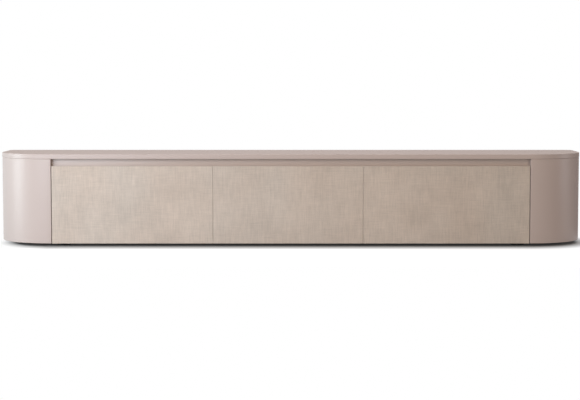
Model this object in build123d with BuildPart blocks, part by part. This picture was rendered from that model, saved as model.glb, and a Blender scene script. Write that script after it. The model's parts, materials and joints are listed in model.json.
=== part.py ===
from build123d import *

import os

# Long low TV stand with curved ends. Millimetres: X runs along the stand, Y to the back, Z up.
# The origin is on the floor, under the middle of the stand.

# Whole stand
length = 2700.0
depth = 450.0
height = 420.0
front_corner_radius = 250.0
back_corner_radius = 28.0
foot_height = 13.0

# Top panel
top_thickness = 22.0
top_overhang = 1.0
top_edge_round = 1.5

# Curved ends
shell_thickness = 22.0
end_flat = 10.0
back_return = 22.0
edge_ease = 1.0
rib_thickness = 18.0

# Carcass
side_thickness = 18.0
partition_thickness = 18.0
bottom_thickness = 18.0
back_thickness = 16.0
panel_gap = 1.0
left_seam_x = -354.0
right_seam_x = 329.5

# Finger rail, the strip behind the recess over the fronts
recess_height = 32.0
finger_depth = 22.0
rail_thickness = 16.0
rail_drop = 40.0

# Cable slots in the back panels
slot_length = 120.0
slot_height = 40.0
slot_drop = 70.0

# Feet
foot_radius = 32.5
foot_setback = 60.0
foot_side_gap = 12.5
foot_flare = 1.5

# Drawer fronts
front_thickness = 20.0
front_standoff = 2.0
end_gap = 3.0
seam_gap = 1.0
front_ease = 0.8
grip_bevel = 14.0

# Drawer boxes
box_wall = 15.0
box_height = 210.0
box_floor_gap = 12.0
box_rear_gap = 15.0
base_thickness = 8.0
base_raise = 10.0
groove_depth = 6.0

# Telescopic slides
slide_space = 13.0
slide_height = 45.0
slide_setback = 4.0
slide_rear_gap = 20.0
slide_raise = 60.0
slide_web = 1.5
slide_flange = 2.5
slide_play = 0.35

# Dowels and screws
dowel_radius = 4.0
dowel_length = 30.0
dowel_in_face = 12.0
dowel_fit = 0.05
dowel_end_gap = 1.0
screw_radius = 1.75
screw_head_radius = 3.5
screw_fit = 0.05
back_screw_length = 35.0
back_screw_edge = 1.0
front_screw_cover = 5.0
top_screw_cover = 6.0
foot_screw_cover = 4.0
foot_screw_sink = 4.0

# Places along a joint, as shares of its length
back_screw_shares = (0.12, 0.5, 0.88)
dowel_shares = (0.12, 0.37, 0.63, 0.88)
top_screw_shares = (0.22, 0.5, 0.78)
front_screw_shares = (0.12, 0.88)
rail_dowel_shares = (0.3, 0.7)
rib_screw_share = 0.75

# Derived levels and planes of the carcass
body_bottom = foot_height
body_top = height - top_thickness
body_half = length / 2 - top_overhang
body_front = -depth / 2 + top_overhang
body_back = depth / 2 - top_overhang
front_back = body_front + front_thickness
carcass_front = front_back + front_standoff
carcass_back = body_back - shell_thickness
back_face = carcass_back + back_thickness
side_inner = body_half + top_overhang - front_corner_radius - end_flat
side_outer = side_inner + side_thickness
bottom_top = body_bottom + bottom_thickness
body_levels = (body_bottom, body_top)
carcass_depths = (carcass_front, carcass_back)

# Derived finger rail and drawer levels
front_top = body_top - recess_height
rail_face = front_back + finger_depth
rail_back = rail_face + rail_thickness
rail_bottom = front_top - rail_drop
box_bottom = bottom_top + box_floor_gap
box_top = box_bottom + box_height
base_bottom = box_bottom + base_raise
base_top = base_bottom + base_thickness
box_back = carcass_back - box_rear_gap
slide_centre = box_bottom + slide_raise
slide_front = carcass_front + slide_setback
slide_back = carcass_back - slide_rear_gap

# Derived fasteners: each screw stops short of the far face by its cover
back_screw_inset = screw_head_radius + back_screw_edge
front_screw_length = box_wall + front_thickness - front_screw_cover
top_screw_length = rib_thickness + top_thickness - top_screw_cover
foot_screw_length = foot_height - foot_screw_sink + bottom_thickness - foot_screw_cover

# The three bays: their inner walls and the edges of their fronts
half_partition = partition_thickness / 2
bays = {
    "left": {
        "walls": (-side_inner, left_seam_x - half_partition),
        "front": (-side_inner + end_gap, left_seam_x - seam_gap / 2),
    },
    "middle": {
        "walls": (left_seam_x + half_partition, right_seam_x - half_partition),
        "front": (left_seam_x + seam_gap / 2, right_seam_x - seam_gap / 2),
    },
    "right": {
        "walls": (right_seam_x + half_partition, side_inner),
        "front": (right_seam_x + seam_gap / 2, side_inner - end_gap),
    },
}
seams = {"left": left_seam_x, "right": right_seam_x}
sides = {"left": -1, "right": 1}


def save(piece, name):
    """Label the finished piece and write it under its name."""
    piece.part.label = name
    export_step(piece.part, f"parts/{name}.step")


def between(span, share):
    """Place at a share of the way along a span."""
    return span[0] + share * wide(span)


def middle(span):
    """Place halfway along a span."""
    return (span[0] + span[1]) / 2


def wide(span):
    """Width of a span."""
    return span[1] - span[0]


def level(z):
    """Horizontal plane at height z."""
    return Plane.XY.offset(z)


def upright(y):
    """Upright plane across the stand at depth y; extrusions from it run to the front."""
    return Plane.XZ.offset(-y)


def plan_face(inset):
    """Plan of the stand, drawn in by inset from the edge of the top."""
    with BuildSketch() as plan:
        Rectangle(length - 2 * inset, depth - 2 * inset)
        fillet(plan.vertices().group_by(Axis.Y)[0], front_corner_radius - inset)
        fillet(plan.vertices().group_by(Axis.Y)[-1], max(back_corner_radius - inset, edge_ease))
    return plan.sketch


def block(x_span, y_span, z_span):
    """Plain board between three pairs of limits."""
    with BuildPart() as board:
        with BuildSketch(level(z_span[0])):
            with Locations((middle(x_span), middle(y_span))):
                Rectangle(wide(x_span), wide(y_span))
        extrude(amount=wide(z_span))
    return board


def facing(origin, direction):
    """Plane at a fastener's mouth, with its normal pointing out of the hole."""
    return Plane(origin=origin, z_dir=direction)


def screw_group(mouths, screw_length):
    """Countersunk screws driven in at the given mouths, head flush with the surface."""
    with BuildPart() as screws:
        with Locations(*mouths):
            Cone(
                screw_radius,
                screw_head_radius,
                screw_head_radius - screw_radius,
                align=(Align.CENTER, Align.CENTER, Align.MAX),
            )
            Cylinder(
                screw_radius, screw_length, align=(Align.CENTER, Align.CENTER, Align.MAX)
            )
    return screws


def cut_screw_holes(mouths, screw_length):
    """Countersunk holes for those screws, cut in the part that is being built."""
    with Locations(*mouths):
        Cone(
            screw_radius + screw_fit,
            screw_head_radius + screw_fit,
            screw_head_radius - screw_radius,
            align=(Align.CENTER, Align.CENTER, Align.MAX),
            mode=Mode.SUBTRACT,
        )
        Cylinder(
            screw_radius + screw_fit,
            screw_length + screw_fit,
            align=(Align.CENTER, Align.CENTER, Align.MAX),
            mode=Mode.SUBTRACT,
        )


def cut_dowel_holes(joints):
    """Holes for the dowels, cut in the part that is being built."""
    with Locations(*joints):
        Cylinder(
            dowel_radius + dowel_fit,
            dowel_length + 2 * dowel_end_gap,
            align=(Align.CENTER, Align.CENTER, Align.MAX),
            mode=Mode.SUBTRACT,
        )


def dowel_mouth(point, direction):
    """Start of a dowel's hole: a blind hole runs past the joint face into the other board."""
    reach = dowel_in_face + dowel_end_gap
    return facing(
        tuple(place + reach * step for place, step in zip(point, direction)), direction
    )


# Dowels of the carcass joints
uprights_x = {
    "left_side": -side_inner - side_thickness / 2,
    "left_partition": left_seam_x,
    "right_partition": right_seam_x,
    "right_side": side_inner + side_thickness / 2,
}
top_depths = (rail_back, carcass_back)
top_dowels = [
    dowel_mouth((x, between(top_depths, share), body_top), (0, 0, 1))
    for x in uprights_x.values()
    for share in dowel_shares
]
bottom_dowels = [
    dowel_mouth((x, between(carcass_depths, share), bottom_top), (0, 0, -1))
    for x in seams.values()
    for share in dowel_shares
]
side_dowels = [
    dowel_mouth(
        (turn * side_inner, between(carcass_depths, share), body_bottom + bottom_thickness / 2),
        (turn, 0, 0),
    )
    for turn in sides.values()
    for share in dowel_shares
]
rail_dowels = [
    dowel_mouth(
        (turn * side_inner, rail_face + rail_thickness / 2, between((rail_bottom, body_top), share)),
        (turn, 0, 0),
    )
    for turn in sides.values()
    for share in rail_dowel_shares
]
all_dowels = top_dowels + bottom_dowels + side_dowels + rail_dowels

# Screws of the top, driven up through the upper ribs
rib_x_span = (side_outer, body_half - shell_thickness)
rib_y = middle(carcass_depths)
top_screw_mouths = [
    facing((turn * between(rib_x_span, share), rib_y, body_top - rib_thickness), (0, 0, -1))
    for turn in sides.values()
    for share in top_screw_shares
]

# Screws of the back panels: beside each seam, into the uprights, and into the ribs at the ends
back_edges = {
    "left": (-body_half + back_corner_radius + back_return, left_seam_x - panel_gap / 2),
    "middle": (left_seam_x + panel_gap / 2, right_seam_x - panel_gap / 2),
    "right": (right_seam_x + panel_gap / 2, body_half - back_corner_radius - back_return),
}
upright_screw_x = {
    "left": (uprights_x["left_side"], left_seam_x - back_screw_inset),
    "middle": (left_seam_x + back_screw_inset, right_seam_x - back_screw_inset),
    "right": (right_seam_x + back_screw_inset, uprights_x["right_side"]),
}
rib_levels = {"lower": body_bottom, "upper": body_top - rib_thickness}
back_screw_mouths = {
    bay: [
        facing((x, back_face, between(body_levels, share)), (0, 1, 0))
        for x in places
        for share in back_screw_shares
    ]
    for bay, places in upright_screw_x.items()
}
for name, turn in sides.items():
    rib_screw_x = turn * between(rib_x_span, rib_screw_share)
    back_screw_mouths[name] += [
        facing((rib_screw_x, back_face, bottom + rib_thickness / 2), (0, 1, 0))
        for bottom in rib_levels.values()
    ]
back_screw_places = sum(back_screw_mouths.values(), [])

# Feet: four near the corners and one under the middle of each partition
foot_x = side_inner - foot_side_gap - foot_radius
foot_y = body_front + foot_setback + foot_radius
foot_places = [(turn * foot_x, y) for turn in sides.values() for y in (foot_y, -foot_y)]
foot_places += [(x, 0) for x in seams.values()]
foot_screw_mouths = [facing((x, y, foot_screw_sink), (0, 0, -1)) for x, y in foot_places]

os.makedirs("parts", exist_ok=True)

# Top panel: one slab with eased edges, over the whole plan
with BuildPart() as top_panel:
    with BuildSketch(level(body_top)):
        add(plan_face(0))
    extrude(amount=top_thickness)
    fillet(top_panel.faces().sort_by(Axis.Z)[-1].edges(), top_edge_round)
    chamfer(top_panel.faces().sort_by(Axis.Z)[0].edges(), edge_ease)
    cut_dowel_holes(top_dowels)
    cut_screw_holes(top_screw_mouths, top_screw_length)
save(top_panel, "top_panel")


# Curved ends: a bent shell from the first front, round the end, to a short return at the back
def end_shell(turn):
    """Curved shell of one end, with its upper and lower arrises eased."""
    with BuildPart() as shell:
        with BuildSketch(level(body_bottom)) as shell_plan:
            add(plan_face(top_overhang))
            add(plan_face(top_overhang + shell_thickness), mode=Mode.SUBTRACT)
            with Locations((turn * side_inner, 0)):
                Rectangle(
                    length, depth, align=(Align.MAX if turn > 0 else Align.MIN, Align.CENTER),
                    mode=Mode.SUBTRACT,
                )
            with Locations((turn * (body_half - back_corner_radius - back_return), 0)):
                Rectangle(
                    length, depth, align=(Align.MAX if turn > 0 else Align.MIN, Align.MIN),
                    mode=Mode.SUBTRACT,
                )
            front_corners = shell_plan.vertices().group_by(Axis.Y)[0].sort_by(Axis.X)
            chamfer(front_corners[0 if turn > 0 else -1], front_ease)
        extrude(amount=wide(body_levels))
        levels = shell.faces().filter_by(Axis.Z).sort_by(Axis.Z)
        chamfer(levels[0].edges() + levels[-1].edges(), edge_ease)
    return shell


for name, turn in sides.items():
    save(end_shell(turn), f"{name}_end_shell")

# Ribs: flat plates that fill the plan inside each shell, at its foot and at its head
for name, turn in sides.items():
    for place, bottom in rib_levels.items():
        with BuildPart() as rib:
            with BuildSketch(level(bottom)):
                add(plan_face(top_overhang + shell_thickness))
                with Locations((turn * side_outer, carcass_back)):
                    Rectangle(
                        length, depth, align=(Align.MIN if turn > 0 else Align.MAX, Align.MAX),
                        mode=Mode.INTERSECT,
                    )
            extrude(amount=rib_thickness)
            cut_screw_holes(back_screw_mouths[name], back_screw_length)
            if place == "upper":
                cut_screw_holes(top_screw_mouths, top_screw_length)
        save(rib, f"{name}_{place}_rib")

# Bottom panel, between the carcass sides
with BuildPart() as bottom_panel:
    add(block((-side_inner, side_inner), carcass_depths, (body_bottom, bottom_top)))
    cut_dowel_holes(side_dowels + bottom_dowels)
    cut_screw_holes(foot_screw_mouths, foot_screw_length)
save(bottom_panel, "bottom_panel")

# Carcass sides, behind the flat edge of each shell
for name, turn in sides.items():
    with BuildPart() as carcass_side:
        with BuildSketch(level(body_bottom)):
            add(plan_face(top_overhang + shell_thickness))
            with Locations((turn * side_inner, carcass_back)):
                Rectangle(
                    side_thickness, depth, align=(Align.MIN if turn > 0 else Align.MAX, Align.MAX),
                    mode=Mode.INTERSECT,
                )
        extrude(amount=wide(body_levels))
        cut_dowel_holes(side_dowels + rail_dowels + top_dowels)
        cut_screw_holes(back_screw_mouths[name], back_screw_length)
    save(carcass_side, f"{name}_carcass_side")

# Finger rail, one strip behind all three fronts
with BuildPart() as finger_rail:
    add(block((-side_inner, side_inner), (rail_face, rail_back), (rail_bottom, body_top)))
    cut_dowel_holes(rail_dowels)
save(finger_rail, "finger_rail")

# Partitions, notched at the front for the rail and the recess
for name, seam in seams.items():
    board_span = (seam - half_partition, seam + half_partition)
    with BuildPart() as partition:
        add(block(board_span, carcass_depths, (bottom_top, body_top)))
        add(block(board_span, (carcass_front, rail_back), (rail_bottom, body_top)), mode=Mode.SUBTRACT)
        cut_dowel_holes(top_dowels + bottom_dowels)
        cut_screw_holes(back_screw_places, back_screw_length)
    save(partition, f"{name}_partition")

# Back panels, one for each bay, with a cable slot above the drawer
for name, x_span in back_edges.items():
    with BuildPart() as back_panel:
        with BuildSketch(upright(back_face)):
            with Locations((middle(x_span), middle(body_levels))):
                Rectangle(wide(x_span), wide(body_levels))
            with Locations((middle(bays[name]["walls"]), body_top - slot_drop)):
                SlotOverall(slot_length, slot_height, mode=Mode.SUBTRACT)
        extrude(amount=back_thickness)
        cut_screw_holes(back_screw_mouths[name], back_screw_length)
    save(back_panel, f"{name}_back_panel")

# Feet: turned pads, each held by a screw that is sunk in its underside
with BuildPart() as feet:
    for x, y in foot_places:
        with BuildSketch(level(0)):
            with Locations((x, y)):
                Circle(foot_radius)
        extrude(amount=foot_height)
    chamfer(feet.faces().group_by(Axis.Z)[0].edges(), foot_flare)
    with Locations(*[(x, y, 0) for x, y in foot_places]):
        Cylinder(
            screw_head_radius + screw_fit, foot_screw_sink,
            align=(Align.CENTER, Align.CENTER, Align.MIN), mode=Mode.SUBTRACT,
        )
    cut_screw_holes(foot_screw_mouths, foot_screw_length)
save(feet, "feet")

# Fasteners of the carcass
save(screw_group(foot_screw_mouths, foot_screw_length), "foot_screws")
save(screw_group(top_screw_mouths, top_screw_length), "top_screws")
save(screw_group(back_screw_places, back_screw_length), "back_screws")
with BuildPart() as carcass_dowels:
    with Locations(*[joint.offset(-dowel_end_gap) for joint in all_dowels]):
        Cylinder(dowel_radius, dowel_length, align=(Align.CENTER, Align.CENTER, Align.MAX))
save(carcass_dowels, "carcass_dowels")


def slide_member(wall, turn, nest):
    """Slide member, a channel. nest 0 is on the carcass, 1 is between, 2 is on the drawer."""
    near = nest * (slide_web + slide_play)
    far = slide_space - (2 - nest) * (slide_web + slide_play)
    pocket = (near, far - slide_web) if nest == 2 else (near + slide_web, far)
    tall = slide_height - 2 * nest * (slide_flange + slide_play)
    with BuildPart() as member:
        with BuildSketch(upright(slide_back)):
            with Locations((wall + turn * middle((near, far)), slide_centre)):
                Rectangle(far - near, tall)
            with Locations((wall + turn * middle(pocket), slide_centre)):
                Rectangle(wide(pocket), tall - 2 * slide_flange, mode=Mode.SUBTRACT)
        extrude(amount=slide_back - slide_front)
    return member


# The slides and the drawers
for name, bay in bays.items():
    walls = bay["walls"]
    for hand, wall, turn in (("left", walls[0], 1), ("right", walls[1], -1)):
        save(slide_member(wall, turn, 0), f"{name}_bay_{hand}_cabinet_slide")
        save(slide_member(wall, turn, 1), f"{name}_bay_{hand}_middle_slide")
        save(slide_member(wall, turn, 2), f"{name}_drawer_{hand}_slide")

    box_span = (walls[0] + slide_space, walls[1] - slide_space)
    inner_span = (box_span[0] + box_wall, box_span[1] - box_wall)
    box_depths = (front_back, box_back)
    inner_depths = (front_back + box_wall, box_back - box_wall)
    box_levels = (box_bottom, box_top)
    screw_mouths = [
        facing((between(inner_span, across), inner_depths[0], between(box_levels, up)), (0, 1, 0))
        for across in front_screw_shares
        for up in front_screw_shares
    ]

    # Base, let into grooves in the four walls of the box
    base = block(
        (inner_span[0] - groove_depth, inner_span[1] + groove_depth),
        (inner_depths[0] - groove_depth, inner_depths[1] + groove_depth),
        (base_bottom, base_top),
    )
    save(base, f"{name}_drawer_base")

    wall_blocks = {
        "left_side": block((box_span[0], inner_span[0]), box_depths, box_levels),
        "right_side": block((inner_span[1], box_span[1]), box_depths, box_levels),
        "box_front": block(inner_span, (box_depths[0], inner_depths[0]), box_levels),
        "box_back": block(inner_span, (inner_depths[1], box_depths[1]), box_levels),
    }
    for wall_name, wall_block in wall_blocks.items():
        with BuildPart() as box_panel:
            add(wall_block)
            add(base, mode=Mode.SUBTRACT)
            if wall_name == "box_front":
                cut_screw_holes(screw_mouths, front_screw_length)
        save(box_panel, f"{name}_drawer_{wall_name}")

    # Front, with eased edges and a bevel for the fingers behind its upper edge
    with BuildPart() as front:
        with BuildSketch(upright(front_back)):
            with Locations((middle(bay["front"]), middle((body_bottom, front_top)))):
                Rectangle(wide(bay["front"]), front_top - body_bottom)
        extrude(amount=front_thickness)
        chamfer(front.faces().sort_by(Axis.Y)[0].edges(), front_ease)
        top_edges = front.edges().filter_by(Axis.X).group_by(Axis.Z)[-1]
        chamfer(top_edges.sort_by(Axis.Y)[-1], grip_bevel)
        cut_screw_holes(screw_mouths, front_screw_length)
    save(front, f"{name}_drawer_front")
    save(screw_group(screw_mouths, front_screw_length), f"{name}_drawer_front_screws")
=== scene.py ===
import functools
import json
import math

import bmesh
import bpy
from bpy.props import FloatProperty, FloatVectorProperty, IntProperty, PointerProperty
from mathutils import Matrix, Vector


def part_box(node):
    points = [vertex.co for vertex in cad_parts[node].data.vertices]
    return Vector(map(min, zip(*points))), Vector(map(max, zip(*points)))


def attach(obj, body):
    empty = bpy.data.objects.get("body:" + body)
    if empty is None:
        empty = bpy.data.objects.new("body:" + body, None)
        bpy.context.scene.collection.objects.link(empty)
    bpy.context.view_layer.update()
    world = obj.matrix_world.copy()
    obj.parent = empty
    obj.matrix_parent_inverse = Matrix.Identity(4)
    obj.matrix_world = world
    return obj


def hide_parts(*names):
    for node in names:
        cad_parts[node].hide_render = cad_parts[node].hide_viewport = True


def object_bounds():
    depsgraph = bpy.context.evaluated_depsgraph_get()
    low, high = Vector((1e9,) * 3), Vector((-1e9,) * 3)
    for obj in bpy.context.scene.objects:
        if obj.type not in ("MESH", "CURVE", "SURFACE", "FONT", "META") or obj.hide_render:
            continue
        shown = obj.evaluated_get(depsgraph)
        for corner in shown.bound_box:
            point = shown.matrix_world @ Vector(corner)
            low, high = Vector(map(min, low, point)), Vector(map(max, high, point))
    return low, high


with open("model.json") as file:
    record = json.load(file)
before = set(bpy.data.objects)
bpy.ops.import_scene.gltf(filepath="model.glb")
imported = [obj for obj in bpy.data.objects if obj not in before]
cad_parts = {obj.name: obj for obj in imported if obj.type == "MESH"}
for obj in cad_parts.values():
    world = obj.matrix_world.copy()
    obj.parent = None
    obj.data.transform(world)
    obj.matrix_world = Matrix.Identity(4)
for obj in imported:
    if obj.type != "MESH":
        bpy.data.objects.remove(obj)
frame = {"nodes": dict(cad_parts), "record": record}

bl_info = {
    "name": "Long TV Stand",
    "version": (1, 0, 0),
    "blender": (4, 5, 0),
    "location": "3D View > Sidebar > TV Stand",
    "description": "Rounded, lacquered shells, woven fronts and the finishes of a long TV stand",
    "category": "Add Mesh",
}

CAD_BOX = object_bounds()
BAYS = ("left", "middle", "right")
SIDES = {"left": -1, "right": 1}
COLOURS = {row["slot"]: tuple(row["base_color"]) for row in frame["record"]["materials"]}

# A corner this near to a plane lies in it, in metres.
TOUCH = 1e-5
# Two places nearer than this are one place, in metres.
SAME_PLACE = 1e-6
# A face whose normal has this much of an axis looks along it.
SQUARE_ON = 0.99
# A fold sharper than the first is an edge to round, and one sharper than the second is shaded
# as an edge.
ROUNDED_FOLD = math.radians(60)
SHADED_FOLD = math.radians(50)

# From one thread of the weave to the next, in metres.
THREAD_PITCH = 0.0011

# Half the side of the studio floor, in metres.
FLOOR_REACH = 30.0

# The shadow that the floor keeps, in metres. Each pair gives where something begins and where
# it is full. The shadow turns white outwards from the stand and never holds less white than the
# least. At both ends of the stand it is narrower by the cut, which the slant makes smaller for
# each metre to the right.
SHADOW_CORNER = 0.20
SHADOW_TO_WHITE = (0.01, 0.14)
LEAST_WHITE = 0.02
ENDS_OF_STAND = (1.10, 1.35)
END_SHADOW_CUT = 0.0835
END_SHADOW_SLANT = 0.032

# The paler floor under opened drawers: its near edge and its far edge, both ahead of the stand,
# and its edges at the two sides.
DRAWER_SHADOW_NEAR = (0.08, 0.16)
DRAWER_SHADOW_FAR = (0.80, 0.55)
DRAWER_SHADOW_SIDE = (1.60, 1.35)

# Tones of the studio: the floor in the stand's shadow, the floor in a drawer's shadow and its own
# light, and the glow of the dark cards, a painted reflection that only mirrors see.
FLOOR_MATT = (0.37, 0.37, 0.37)
FLOOR_PALE = (0.95, 0.95, 0.95)
FLOOR_GLOW = (0.93, 0.95, 1.0)
FLOOR_GLOW_LEVEL = 0.38
CARD_REFLECTION_GLOW = (0.24, 0.19, 0.17)
WHITE = (1.0, 1.0, 1.0)

# Softboxes: where each stands, the place that it faces, its width and height, all in metres,
# and the names of its power and colour in StandStudio.
SOFTBOXES = {
    "key_softbox": (
        (-1.7, -2.4, 0.78), (-1.0, 0.0, 0.25), (1.4, 0.9), "key_power", "key_colour"),
    "side_softbox": (
        (-2.9, -0.50, 0.62), (-1.2, -0.50, 0.62), (0.75, 1.2), "side_power", "side_colour"),
    "rim_softbox": (
        (2.9, -0.40, 0.60), (1.2, -0.40, 0.60), (0.3, 0.9), "rim_power", "rim_colour"),
    "top_softbox": (
        (0.0, 0.0, 2.6), (0.0, 0.0, 0.0), (4.0, 1.5), "top_power", "top_colour"),
    "front_softbox": (
        (0.6, -4.5, 0.8), (0.0, 0.0, 0.3), (4.0, 1.4), "front_power", "front_colour"),
    "high_softbox": (
        (0.3, -3.6, 1.9), (0.0, 0.0, 0.3), (4.0, 1.2), "high_power", "front_colour"),
    "back_softbox": (
        (0.0, 3.0, 0.23), (0.0, 0.0, 0.23), (4.0, 0.38), "back_power", "back_colour"),
}

# Dark cards beside the right end, glowing faintly as painted reflections that only mirrors see: two
# opposite corners of each, in metres.
DARK_CARDS = {
    "side_card": ((2.40, 0.15, 0.002), (2.41, 2.15, 2.0)),
    "side_floor_card": ((1.37, 0.15, 0.001), (2.40, 2.15, 0.002)),
    "corner_card": ((2.90, -1.63, 0.002), (2.91, -0.70, 2.0)),
    "corner_floor_card": ((1.50, -1.63, 0.001), (2.90, -0.30, 0.002)),
}

# The camera: width of its sensor in millimetres, and how far it sees in metres.
SENSOR_WIDTH = 36.0
SIGHT = 200.0


def colour_property(name, description, default):
    return FloatVectorProperty(
        name=name, description=description, default=default, subtype="COLOR", min=0, max=1)


def power_property(name, description, default):
    return FloatProperty(
        name=name, description=description + ", in watts", default=default, unit="POWER", min=0)


class StandSizes(bpy.types.PropertyGroup):
    front_radius: FloatProperty(
        name="Front corner radius", description="Radius of the two big front corners of the top",
        default=0.25, unit="LENGTH")
    back_radius: FloatProperty(
        name="Back corner radius", description="Radius of the two small back corners of the top",
        default=0.028, unit="LENGTH")
    shell_wall: FloatProperty(
        name="Shell wall", description="Thickness of the curved ends", default=0.022, unit="LENGTH")
    shell_ease: FloatProperty(
        name="Shell edge", description="Rounding of the edges of the curved ends",
        default=0.002, unit="LENGTH")
    top_ease: FloatProperty(
        name="Top edge", description="Rounding of the rim of the top",
        default=0.002, unit="LENGTH")
    front_ease: FloatProperty(
        name="Front edge", description="Rounding of the edges of the fronts",
        default=0.0008, unit="LENGTH")
    grip_bevel: FloatProperty(
        name="Finger bevel", description="Bevel behind the top edge of each front",
        default=0.014, unit="LENGTH")
    arc_steps: IntProperty(
        name="Front corner steps", description="Facets of each big corner", default=56, min=8)
    back_arc_steps: IntProperty(
        name="Back corner steps", description="Facets of each small corner", default=12, min=2)


class StandColours(bpy.types.PropertyGroup):
    lacquer: colour_property(
        "Lacquer", "Satin lacquer of the top, ends and back", (0.52, 0.435, 0.405))
    # The rail's colour is the lacquer painted paler: painted light against the shade in the finger
    # recess.
    rail: colour_property(
        "Rail lacquer", "Lacquer of the strip in the finger recess", (0.56, 0.455, 0.405))
    woven: colour_property(
        "Woven cloth", "Middle tone of the woven fronts", (0.587, 0.520, 0.460))
    woven_warm: colour_property(
        "Woven cloth, warm", "Warmer patches of the woven fronts", (0.602, 0.511, 0.440))
    carcass: colour_property(
        "Carcass board", "Laminate of the boards inside", COLOURS["carcass_board"])
    drawer: colour_property(
        "Drawer board", "Laminate of the drawer boxes", COLOURS["drawer_board"])
    steel: colour_property("Slide steel", "Plated steel of the slides", COLOURS["slide_steel"])
    screws: colour_property("Screws", "Plated steel of the screws", COLOURS["zinc_steel"])
    beech: colour_property("Beech", "Wood of the dowels", COLOURS["beech"])
    plastic: colour_property("Plastic", "Moulded feet", COLOURS["black_plastic"])


class StandStudio(bpy.types.PropertyGroup):
    lens: FloatProperty(
        name="Lens", description="Focal length of the camera", default=98.96, unit="CAMERA")
    distance: FloatProperty(
        name="Distance", description="From the camera to the middle of the stand",
        default=7.452, unit="LENGTH")
    height: FloatProperty(
        name="Height", description="Height of the camera above the floor",
        default=0.763, unit="LENGTH")
    tilt: FloatProperty(
        name="Tilt", description="How far the camera looks down",
        default=math.radians(4.360), unit="ROTATION")
    slide: FloatProperty(
        name="Sideways", description="Camera's place along the stand",
        default=-0.0033, unit="LENGTH")
    key_power: power_property("Key light", "Softbox before the left end", 37.5)
    key_colour: colour_property(
        "Key colour", "Colour of the softbox before the left end", (0.834, 0.907, 1.0))
    side_power: power_property("Side light", "Softbox beside the left end", 21.1)
    side_colour: colour_property(
        "Side colour", "Colour of the softbox beside the left end", (0.847, 0.967, 1.0))
    rim_power: power_property("Rim light", "Weak softbox beside the right end", 3.4)
    rim_colour: colour_property(
        "Rim colour", "Colour of the softbox beside the right end", (0.914, 0.900, 1.0))
    top_power: power_property("Top light", "Softbox over the stand", 31.4)
    top_colour: colour_property(
        "Top colour", "Colour of the softbox over the stand", (0.99, 0.98, 1.0))
    front_power: power_property("Front light", "Wide softbox as high as the camera", 15.8)
    high_power: power_property("High front light", "Wide softbox higher than the camera", 23.7)
    front_colour: colour_property(
        "Front colour", "Colour of the two wide softboxes in front", (1.0, 0.751, 0.526))
    back_power: power_property("Back light", "Low softbox behind the stand", 26.0)
    back_colour: colour_property(
        "Back colour", "Colour of the softbox behind the stand", (1.0, 0.93, 0.86))
    fill: colour_property(
        "Fill light", "Colour and level of the light from all round", (0.30, 0.28, 0.26))


def colours():
    return bpy.context.scene.stand_colours


class Signal:
    """One output of a shader node, so that a finish is written as sums and products."""

    def __init__(self, finish, socket):
        self.finish = finish
        self.socket = socket

    def maths(self, operation, *values):
        return self.finish.node("ShaderNodeMath", {"operation": operation}, dict(enumerate(values)))

    def __add__(self, other):
        return self.maths("ADD", self, other)

    def __radd__(self, other):
        return self.maths("ADD", other, self)

    def __sub__(self, other):
        return self.maths("SUBTRACT", self, other)

    def __rsub__(self, other):
        return self.maths("SUBTRACT", other, self)

    def __mul__(self, other):
        return self.maths("MULTIPLY", self, other)

    def __rmul__(self, other):
        return self.maths("MULTIPLY", other, self)

    def __truediv__(self, other):
        return self.maths("DIVIDE", self, other)

    def __rtruediv__(self, other):
        return self.maths("DIVIDE", other, self)

    def __abs__(self):
        return self.maths("ABSOLUTE", self)

    def at_least(self, other):
        return self.maths("MAXIMUM", self, other)

    def at_most(self, other):
        return self.maths("MINIMUM", self, other)

    def clamped(self):
        """Held between zero and one."""
        return self.at_least(0.0).at_most(1.0)

    def sine(self):
        return self.maths("SINE", self)

    def root(self):
        return self.maths("SQRT", self)


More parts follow.
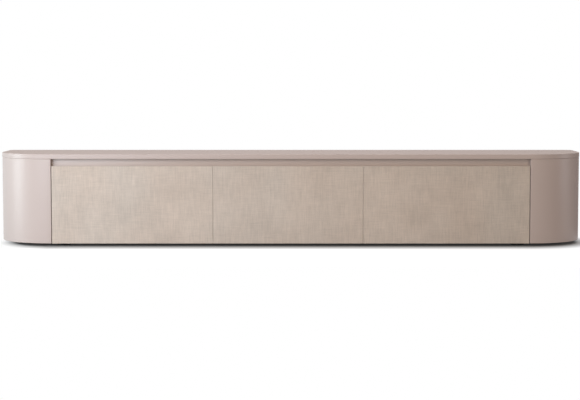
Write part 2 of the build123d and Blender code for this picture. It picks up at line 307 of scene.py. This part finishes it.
class Finish:
    """A material, or the surroundings, while its nodes are being laid out."""

    def __init__(self, name, kind="materials"):
        self.owner = getattr(bpy.data, kind).new(name)
        self.owner.use_nodes = True
        self.tree = self.owner.node_tree
        self.tree.nodes.clear()

    def node(self, kind, settings=None, sockets=None, out=0):
        """Adds a node: its settings first, then the values or links of its sockets."""
        made = self.tree.nodes.new(kind)
        for setting, value in (settings or {}).items():
            setattr(made, setting, value)
        for name, value in (sockets or {}).items():
            if isinstance(value, Signal):
                self.tree.links.new(value.socket, made.inputs[name])
            else:
                made.inputs[name].default_value = value
        return Signal(self, made.outputs[out]) if made.outputs else made

    def place(self):
        """Object coordinates, in metres of the stand's own frame."""
        return self.node("ShaderNodeTexCoord", out="Object")

    def axes(self, vector):
        return [self.node("ShaderNodeSeparateXYZ", None, {0: vector}, out=axis) for axis in "XYZ"]

    def stretch(self, vector, scale, shift=(0, 0, 0)):
        return self.node(
            "ShaderNodeVectorMath", {"operation": "MULTIPLY_ADD"}, {0: vector, 1: scale, 2: shift})

    def noise(self, vector, scale, detail):
        """Soft noise, centred on zero."""
        grain = self.node(
            "ShaderNodeTexNoise", None,
            {"Vector": vector, "Scale": scale, "Detail": detail, "Roughness": 0.5})
        return grain - 0.5

    def mix(self, factor, first, second, blend="MIX"):
        return self.node(
            "ShaderNodeMix", {"data_type": "RGBA", "blend_type": blend},
            {0: factor, 6: first, 7: second}, out=2)

    def shade(self, colour, level):
        """A colour made lighter or darker by a level round one."""
        return self.mix(1.0, colour, level, blend="MULTIPLY")

    def bump(self, height, distance):
        return self.node(
            "ShaderNodeBump", None, {"Strength": 1.0, "Distance": distance, "Height": height})

    def matt(self, colour):
        return self.node("ShaderNodeBsdfDiffuse", None, {"Color": rgba(colour)})

    def glow(self, colour, strength=1.0):
        return self.node(
            "ShaderNodeEmission", None, {"Color": rgba(colour), "Strength": strength})

    def background(self, colour):
        return self.node("ShaderNodeBackground", None, {"Color": rgba(colour)})

    def blend(self, factor, first, second):
        return self.node("ShaderNodeMixShader", None, {0: factor, 1: first, 2: second})

    def output(self, shader, kind="Material"):
        self.node("ShaderNodeOutput" + kind, None, {"Surface": shader})
        return self.owner

    def surface(self, sockets):
        return self.output(self.node("ShaderNodeBsdfPrincipled", None, sockets))

    def seen_straight(self):
        """One for rays from the camera, in a mirror or through a clear thing, zero for light."""
        rays = [self.node("ShaderNodeLightPath", out=f"Is {kind} Ray")
                for kind in ("Camera", "Glossy", "Transmission")]
        return rays[0].at_least(rays[1]).at_least(rays[2])


def rgba(colour):
    return (*colour, 1.0)


def ramp(signal, start, end):
    """Zero at start, one at end, and even between them."""
    return ((signal - start) / (end - start)).clamped()


def sprayed_lacquer(name, colour, sheen, gloss):
    """Sprayed lacquer: an even coat with a fine orange peel and a hardly clouded sheen."""
    finish = Finish(name)
    place = finish.place()
    cloud = finish.noise(place, 2.2, 3.0)
    mist = finish.noise(place, 38.0, 3.0)
    peel = finish.noise(place, 420.0, 2.0)
    level = 1.0 + 0.03 * cloud + 0.012 * mist + 0.01 * peel
    return finish.surface({
        "Base Color": finish.shade(rgba(colour), level),
        "Roughness": sheen + 0.02 * mist + 0.02 * peel,
        "Specular IOR Level": gloss,
        "Normal": finish.bump(peel, 0.00003),
    })


def satin_lacquer():
    return sprayed_lacquer("satin_lacquer", colours().lacquer, 0.38, 0.5)


def matt_lacquer():
    """The top's own face, rubbed down a little duller against scratches."""
    return sprayed_lacquer("matt_lacquer", colours().lacquer, 0.65, 0.25)


def rail_lacquer():
    """The strip in the finger recess: the same lacquer, glossier, with its colour painted paler as
    painted light against the shade of the recess.
    """
    return sprayed_lacquer("rail_lacquer", colours().rail, 0.30, 0.80)


def woven_cloth():
    """Fine raffia-like weave under matt varnish: slubs both ways, threads and tone patches."""
    finish = Finish("woven_cloth")
    place = finish.place()
    across, _, up = finish.axes(place)
    slub_up = finish.noise(finish.stretch(place, (215, 1, 15)), 1.0, 1.0)
    slub_across = finish.noise(finish.stretch(place, (15, 1, 215), (7, 3, 1)), 1.0, 1.0)
    thread_up = finish.noise(finish.stretch(place, (620, 1, 42), (2, 9, 4)), 1.0, 1.0)
    thread_across = finish.noise(finish.stretch(place, (42, 1, 620), (5, 5, 8)), 1.0, 1.0)
    patch = finish.noise(finish.stretch(place, (1, 1, 1), (3, 1, 2)), 7.0, 2.0)
    blotch = finish.noise(finish.stretch(place, (1, 1, 0.7), (6, 2, 8)), 24.0, 1.0)
    drift = finish.noise(finish.stretch(place, (1, 1, 0.6), (9, 4, 6)), 3.2, 2.0)
    warp = (across * (2 * math.pi / THREAD_PITCH)).sine()
    weft = (up * (2 * math.pi / THREAD_PITCH)).sine()
    slubs = 0.28 * slub_up + 0.19 * slub_across
    threads = 0.15 * thread_up + 0.15 * thread_across
    level = 1.0 + slubs + threads + 0.24 * patch + 0.12 * blotch + 0.012 * warp * weft
    hue = (0.5 + 2.6 * drift).clamped()
    relief = 0.5 * warp * weft + 1.5 * (thread_up + thread_across) + 1.2 * (slub_up + slub_across)
    return finish.surface({
        "Base Color": finish.shade(
            finish.mix(hue, rgba(colours().woven), rgba(colours().woven_warm)), level),
        "Roughness": 0.62 + 0.35 * (slub_up + slub_across) + 0.1 * thread_up,
        "Specular IOR Level": 0.35,
        "Normal": finish.bump(relief, 0.0002),
    })


def front_edge_band():
    """Edge band of the fronts: the same tone without the weave."""
    finish = Finish("front_edge_band")
    place = finish.place()
    grain = finish.noise(finish.stretch(place, (12, 500, 500)), 1.0, 2.0)
    return finish.surface({
        "Base Color": finish.shade(rgba(colours().woven), 1.02 + 0.06 * grain),
        "Roughness": 0.5 + 0.2 * grain,
        "Normal": finish.bump(grain, 0.00003),
    })


def laminate(name, colour, print_depth, pitch):
    """Matt laminated board with a fine linen print in its face."""
    finish = Finish(name)
    place = finish.place()
    upright = finish.noise(finish.stretch(place, (pitch, pitch, 35)), 1.0, 1.0)
    level_run = finish.noise(finish.stretch(place, (35, 35, pitch)), 1.0, 1.0)
    flat_run = finish.noise(finish.stretch(place, (35, pitch, 35)), 1.0, 1.0)
    cloud = finish.noise(place, 9.0, 2.0)
    cross = upright + level_run + flat_run
    level = 1.0 + print_depth * cross + 0.04 * cloud
    return finish.surface({
        "Base Color": finish.shade(rgba(colour), level),
        "Roughness": 0.52 + 0.12 * cross,
        "Normal": finish.bump(cross, 0.00004),
    })


def carcass_board():
    return laminate("carcass_board", colours().carcass, 0.06, 700)


def drawer_board():
    return laminate("drawer_board", colours().drawer, 0.14, 520)


def rolled_steel():
    """Zinc-plated rolled steel: drawn lines along the slide and a cloudy plating."""
    finish = Finish("slide_steel")
    place = finish.place()
    drawn = finish.noise(finish.stretch(place, (900, 6, 900)), 1.0, 2.0)
    plating = finish.noise(place, 60.0, 3.0)
    return finish.surface({
        "Base Color": finish.shade(rgba(colours().steel), 1.0 + 0.16 * drawn + 0.14 * plating),
        "Metallic": 1.0,
        "Roughness": 0.34 + 0.16 * drawn + 0.16 * plating,
        "Normal": finish.bump(drawn, 0.00002),
    })


def plated_screws():
    """Bright zinc plating with the slight burr of a driven screw."""
    finish = Finish("zinc_steel")
    place = finish.place()
    plating = finish.noise(place, 240.0, 3.0)
    return finish.surface({
        "Base Color": finish.shade(rgba(colours().screws), 1.0 + 0.25 * plating),
        "Metallic": 1.0,
        "Roughness": 0.28 + 0.2 * plating,
        "Normal": finish.bump(plating, 0.00005),
    })


def dowel_beech():
    """Raw beech: close grain with short dark flecks."""
    finish = Finish("beech")
    place = finish.place()
    grain = finish.noise(finish.stretch(place, (420, 420, 60)), 1.0, 3.0)
    fleck = finish.noise(finish.stretch(place, (1500, 1500, 160)), 1.0, 1.0)
    return finish.surface({
        "Base Color": finish.shade(rgba(colours().beech), 1.0 + 0.3 * grain + 0.25 * fleck),
        "Roughness": 0.68 + 0.1 * grain,
        "Normal": finish.bump(grain + fleck, 0.00006),
    })


def moulded_plastic():
    """Black moulded plastic with a spark-eroded grain."""
    finish = Finish("black_plastic")
    place = finish.place()
    grain = finish.noise(place, 1300.0, 2.0)
    scuff = finish.noise(place, 90.0, 3.0)
    return finish.surface({
        "Base Color": finish.shade(rgba(colours().plastic), 1.0 + 0.4 * scuff),
        "Roughness": 0.5 + 0.2 * grain + 0.15 * scuff,
        "Normal": finish.bump(grain, 0.00006),
    })


@functools.cache
def material(maker):
    """The material that a maker lays out, laid out once."""
    return maker()


def paint(node, maker):
    """Gives a CAD node its finish, in the slots that it has."""
    shown = frame["nodes"][node]
    if not shown.material_slots:
        shown.data.materials.append(material(maker))
    for place in shown.material_slots:
        place.material = material(maker)


def block_mesh(low, high):
    """A closed box between two corners."""
    mesh = bmesh.new()
    bmesh.ops.create_cube(mesh, size=1.0)
    bmesh.ops.scale(mesh, vec=high - low, verts=mesh.verts)
    bmesh.ops.translate(mesh, vec=(low + high) / 2, verts=mesh.verts)
    return mesh


def round_edges(mesh, edges, width, segments):
    bmesh.ops.bevel(
        mesh, geom=edges, offset=width, offset_type="OFFSET", segments=segments, profile=0.5,
        affect="EDGES", material=-1)


def sharp_edges(mesh):
    return [
        edge for edge in mesh.edges
        if edge.is_manifold and edge.calc_face_angle(0) > ROUNDED_FOLD]


def edges_on(mesh, **planes):
    """The edges that lie in every one of the given planes, such as y=0.1."""
    return [
        edge for edge in mesh.edges
        if all(abs(getattr(vert.co, axis) - at) < TOUCH
               for vert in edge.verts for axis, at in planes.items())]


def runs(edge, axis):
    """Whether the ends of an edge lie apart along an axis."""
    start, end = (getattr(vert.co, axis) for vert in edge.verts)
    return abs(start - end) > SAME_PLACE


def add_object(name, mesh, finishes):
    """Puts a finished mesh into the scene, with its materials."""
    data = bpy.data.meshes.new(name)
    mesh.to_mesh(data)
    mesh.free()
    for finish in finishes:
        data.materials.append(finish)
    shown = bpy.data.objects.new(name, data)
    bpy.context.scene.collection.objects.link(shown)
    return shown


def show_piece(name, mesh, body, nodes, makers):
    """Turns a finished mesh into a piece that rides on a body in place of its CAD nodes."""
    bmesh.ops.recalc_face_normals(mesh, faces=mesh.faces)
    for face in mesh.faces:
        face.smooth = True
    shown = add_object(name, mesh, [material(maker) for maker in makers])
    shown.data.set_sharp_from_angle(angle=SHADED_FOLD)
    even = shown.modifiers.new("Even shading", "WEIGHTED_NORMAL")
    even.keep_sharp = True
    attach(shown, body)
    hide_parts(*nodes)


class TopSlab(bpy.types.Operator):
    """Make the long top with its two big front corners and softened rim"""

    bl_idname = "tv_stand.top_slab"
    bl_label = "Top"

    def execute(self, context):
        size = context.scene.stand_sizes
        low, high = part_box("top_panel")
        mesh = block_mesh(low, high)
        front = [edge for edge in edges_on(mesh, y=low.y) if runs(edge, "z")]
        round_edges(mesh, front, size.front_radius, size.arc_steps)
        back = [edge for edge in edges_on(mesh, y=high.y) if runs(edge, "z")]
        round_edges(mesh, back, size.back_radius, size.back_arc_steps)
        round_edges(mesh, sharp_edges(mesh), size.top_ease, segments=3)
        bmesh.ops.recalc_face_normals(mesh, faces=mesh.faces)
        for face in mesh.faces:
            face.material_index = 1 if face.normal.z > SQUARE_ON else 0
        show_piece(
            "top_slab", mesh, "carcass", ["top_panel"],
            [satin_lacquer, matt_lacquer])
        return {"FINISHED"}


class CurvedEnds(bpy.types.Operator):
    """Make the two bent shells of the ends, open towards the drawers"""

    bl_idname = "tv_stand.curved_ends"
    bl_label = "Curved ends"

    def execute(self, context):
        size = context.scene.stand_sizes
        slab_low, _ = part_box("top_panel")
        for side, turn in SIDES.items():
            node = side + "_end_shell"
            low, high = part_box(node)
            inset = low.y - slab_low.y
            front_radius = size.front_radius - inset
            back_radius = size.back_radius - inset
            inner, outer = (low.x, high.x) if turn > 0 else (high.x, low.x)
            back_low, back_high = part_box(side + "_back_panel")
            back_end = back_high.x if turn > 0 else back_low.x
            front_x = outer - turn * front_radius
            back_x = outer - turn * back_radius
            mesh = bmesh.new()
            walker = mesh.verts.new((inner, low.y, low.z))
            walker = self.walk(mesh, walker, (front_x, low.y, low.z))
            walker = self.bend(
                mesh, walker, (front_x, low.y + front_radius, low.z), turn, size.arc_steps)
            walker = self.walk(mesh, walker, (outer, high.y - back_radius, low.z))
            walker = self.bend(
                mesh, walker, (back_x, high.y - back_radius, low.z), turn, size.back_arc_steps)
            self.walk(mesh, walker, (back_end, high.y, low.z))
            bmesh.ops.remove_doubles(mesh, verts=mesh.verts, dist=SAME_PLACE)
            raised = bmesh.ops.extrude_edge_only(mesh, edges=mesh.edges)["geom"]
            bmesh.ops.translate(
                mesh, vec=(0, 0, high.z - low.z),
                verts=[part for part in raised if isinstance(part, bmesh.types.BMVert)])
            self.face_outwards(mesh, turn)
            bmesh.ops.solidify(mesh, geom=mesh.faces, thickness=size.shell_wall)
            round_edges(mesh, sharp_edges(mesh), size.shell_ease, segments=2)
            show_piece(
                side + "_curved_end", mesh, "carcass", [node], [satin_lacquer])
        return {"FINISHED"}

    def walk(self, mesh, walker, place):
        """Draws a straight line on to a place."""
        made = bmesh.ops.extrude_vert_indiv(mesh, verts=[walker])["verts"][0]
        made.co = place
        return made

    def bend(self, mesh, walker, centre, turn, steps):
        """Draws a quarter turn round a centre."""
        made = bmesh.ops.spin(
            mesh, geom=[walker], cent=centre, axis=(0, 0, 1), angle=turn * math.pi / 2,
            steps=steps)
        return made["geom_last"][0]

    def face_outwards(self, mesh, turn):
        """Turns the faces to look away from the stand, so that the wall grows inwards."""
        bmesh.ops.recalc_face_normals(mesh, faces=mesh.faces)
        side_face = max(mesh.faces, key=lambda face: turn * face.calc_center_median().x)
        if side_face.normal.x * turn < 0:
            bmesh.ops.reverse_faces(mesh, faces=mesh.faces)


class WovenFronts(bpy.types.Operator):
    """Make the three woven fronts with their edge bands and finger bevels"""

    bl_idname = "tv_stand.woven_fronts"
    bl_label = "Woven fronts"

    def execute(self, context):
        size = context.scene.stand_sizes
        for bay in BAYS:
            node = bay + "_drawer_front"
            low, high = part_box(node)
            mesh = block_mesh(low, high)
            grip = edges_on(mesh, y=high.y, z=high.z)
            round_edges(mesh, grip, size.grip_bevel, segments=1)
            rim = edges_on(mesh, y=low.y)
            round_edges(mesh, rim, size.front_ease, segments=3)
            bmesh.ops.recalc_face_normals(mesh, faces=mesh.faces)
            for face in mesh.faces:
                face.material_index = 0 if abs(face.normal.y) > SQUARE_ON else 1
            show_piece(
                bay + "_woven_front", mesh, bay + "_drawer", [node],
                [woven_cloth, front_edge_band])
        return {"FINISHED"}


class SetBackRail(bpy.types.Operator):
    """Make the lacquered strip behind the finger recess"""

    bl_idname = "tv_stand.set_back_rail"
    bl_label = "Set-back rail"

    def execute(self, context):
        low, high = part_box("finger_rail")
        mesh = block_mesh(low, high)
        lower = [edge for edge in edges_on(mesh, z=low.z) if runs(edge, "x")]
        round_edges(mesh, lower, context.scene.stand_sizes.shell_ease, segments=3)
        show_piece(
            "set_back_rail", mesh, "carcass", ["finger_rail"], [rail_lacquer])
        return {"FINISHED"}


class RoundFeet(bpy.types.Operator):
    """Finish the six round feet"""

    bl_idname = "tv_stand.round_feet"
    bl_label = "Feet"

    def execute(self, context):
        paint("feet", moulded_plastic)
        return {"FINISHED"}


class CarcassBoards(bpy.types.Operator):
    """Finish the boards of the carcass, the ribs of the ends and the back"""

    bl_idname = "tv_stand.carcass_boards"
    bl_label = "Carcass boards"

    def execute(self, context):
        for node in ("bottom_panel", "left_partition", "right_partition"):
            paint(node, carcass_board)
        for side in SIDES:
            for part in ("carcass_side", "upper_rib", "lower_rib"):
                paint(f"{side}_{part}", carcass_board)
        for bay in BAYS:
            paint(bay + "_back_panel", satin_lacquer)
        return {"FINISHED"}


class DrawerBoxes(bpy.types.Operator):
    """Finish the boxes behind the three fronts"""

    bl_idname = "tv_stand.drawer_boxes"
    bl_label = "Drawer boxes"

    def execute(self, context):
        for bay in BAYS:
            for part in ("box_front", "left_side", "right_side", "box_back", "base"):
                paint(f"{bay}_drawer_{part}", drawer_board)
        return {"FINISHED"}


class DrawerSlides(bpy.types.Operator):
    """Finish the telescopic slides"""

    bl_idname = "tv_stand.drawer_slides"
    bl_label = "Drawer slides"

    def execute(self, context):
        for bay in BAYS:
            for side in SIDES:
                paint(f"{bay}_bay_{side}_cabinet_slide", rolled_steel)
                paint(f"{bay}_bay_{side}_middle_slide", rolled_steel)
                paint(f"{bay}_drawer_{side}_slide", rolled_steel)
        return {"FINISHED"}


class ScrewsAndDowels(bpy.types.Operator):
    """Finish the screws and the wooden dowels"""

    bl_idname = "tv_stand.screws_and_dowels"
    bl_label = "Screws and dowels"

    def execute(self, context):
        for node in ("foot_screws", "top_screws", "back_screws"):
            paint(node, plated_screws)
        for bay in BAYS:
            paint(bay + "_drawer_front_screws", plated_screws)
        paint("carcass_dowels", dowel_beech)
        return {"FINISHED"}


class Studio(bpy.types.Operator):
    """Set up the pale floor, the soft lights and the camera"""

    bl_idname = "tv_stand.studio"
    bl_label = "Studio"

    def execute(self, context):
        studio = context.scene.stand_studio
        self.floor()
        self.surroundings(context, studio)
        self.softboxes(studio)
        self.painted_reflection_cards()
        self.camera(context, studio)
        context.scene.view_settings.view_transform = "Standard"
        return {"FINISHED"}

    def floor(self):
        mesh = bmesh.new()
        bmesh.ops.create_grid(mesh, x_segments=1, y_segments=1, size=FLOOR_REACH)
        floor = add_object("studio_floor", mesh, [self.floor_finish()])

    def floor_finish(self):
        """White floor that keeps the soft shadow of the stand and of its opened drawers."""
        finish = Finish("studio_floor")
        low, high = CAD_BOX
        across, deep, _ = finish.axes(finish.place())
        beyond_x = (abs(across) - (high.x - SHADOW_CORNER)).at_least(0.0)
        beyond_y = (abs(deep) - (high.y - SHADOW_CORNER)).at_least(0.0)
        outside = (beyond_x * beyond_x + beyond_y * beyond_y).root() - SHADOW_CORNER
        end = ramp(abs(across), *ENDS_OF_STAND)
        reach = outside + end * (END_SHADOW_CUT - END_SHADOW_SLANT * across)
        clear = ramp(reach, *SHADOW_TO_WHITE).at_least(LEAST_WHITE)
        ahead = low.y - deep
        drawer_area = (
            ramp(ahead, *DRAWER_SHADOW_NEAR) * ramp(ahead, *DRAWER_SHADOW_FAR)
            * ramp(abs(across), *DRAWER_SHADOW_SIDE))
        matt = finish.matt(FLOOR_MATT)
        pale = finish.matt(FLOOR_PALE)
        glow = finish.glow(FLOOR_GLOW, FLOOR_GLOW_LEVEL)
        white = finish.glow(WHITE)
        lit = finish.node("ShaderNodeAddShader", None, {0: pale, 1: glow})
        beyond = finish.blend(drawer_area, white, lit)
        return finish.output(finish.blend(clear * finish.seen_straight(), matt, beyond))

    def surroundings(self, context, studio):
        finish = Finish("studio_world", "worlds")
        fill = finish.background(studio.fill)
        white = finish.background(WHITE)
        context.scene.world = finish.output(
            finish.blend(finish.seen_straight(), fill, white), "World")

    def softboxes(self, studio):
        for name, (place, target, size, power, colour) in SOFTBOXES.items():
            data = bpy.data.lights.new(name, "AREA")
            data.shape = "RECTANGLE"
            data.size, data.size_y = size
            data.energy = getattr(studio, power)
            data.color = getattr(studio, colour)
            light = bpy.data.objects.new(name, data)
            bpy.context.scene.collection.objects.link(light)
            light.location = place
            aim = Vector(target) - Vector(place)
            light.rotation_euler = aim.to_track_quat("-Z", "Y").to_euler()

    def painted_reflection_cards(self):
        """Faintly glowing cards that only mirrors see: painted reflections that make the two dark
        bands of the right end.
        """
        finish = Finish("dark_card")
        # The cards' glow is a painted reflection: the right end mirrors this tone in place of the
        # white surroundings.
        tone = finish.output(finish.glow(CARD_REFLECTION_GLOW))
        for name, (low, high) in DARK_CARDS.items():
            card = add_object(name, block_mesh(Vector(low), Vector(high)), [tone])
            card.visible_camera = False
            card.visible_diffuse = False
            card.visible_transmission = False
            card.visible_shadow = False

    def camera(self, context, studio):
        data = bpy.data.cameras.new("studio_camera")
        data.lens = studio.lens
        data.sensor_width = SENSOR_WIDTH
        data.clip_end = SIGHT
        camera = bpy.data.objects.new("studio_camera", data)
        context.scene.collection.objects.link(camera)
        camera.location = (studio.slide, -studio.distance, studio.height)
        camera.rotation_euler = (math.pi / 2 - studio.tilt, 0.0, 0.0)
        context.scene.camera = camera


class StandPanel(bpy.types.Panel):
    """Lists the pieces of the stand"""

    bl_idname = "VIEW3D_PT_tv_stand"
    bl_label = "TV Stand"
    bl_space_type = "VIEW_3D"
    bl_region_type = "UI"
    bl_category = "TV Stand"

    def draw(self, context):
        for operator in OPERATORS:
            self.layout.operator(operator.bl_idname)
        for group in GROUPS:
            box = self.layout.box()
            values = getattr(context.scene, group)
            for name in values.__annotations__:
                box.prop(values, name)


OPERATORS = (
    TopSlab, CurvedEnds, WovenFronts, SetBackRail, RoundFeet, CarcassBoards, DrawerBoxes,
    DrawerSlides, ScrewsAndDowels, Studio,
)
GROUPS = {"stand_sizes": StandSizes, "stand_colours": StandColours, "stand_studio": StandStudio}


def register():
    for name, group in GROUPS.items():
        bpy.utils.register_class(group)
        setattr(bpy.types.Scene, name, PointerProperty(type=group))
    for operator in OPERATORS:
        bpy.utils.register_class(operator)
    bpy.utils.register_class(StandPanel)


def unregister():
    bpy.utils.unregister_class(StandPanel)
    for operator in reversed(OPERATORS):
        bpy.utils.unregister_class(operator)
    for name, group in GROUPS.items():
        delattr(bpy.types.Scene, name)
        bpy.utils.unregister_class(group)


def main():
    register()
    for operator in OPERATORS:
        group, action = operator.bl_idname.split(".")
        getattr(getattr(bpy.ops, group), action)()


if __name__ == "__main__":
    main()
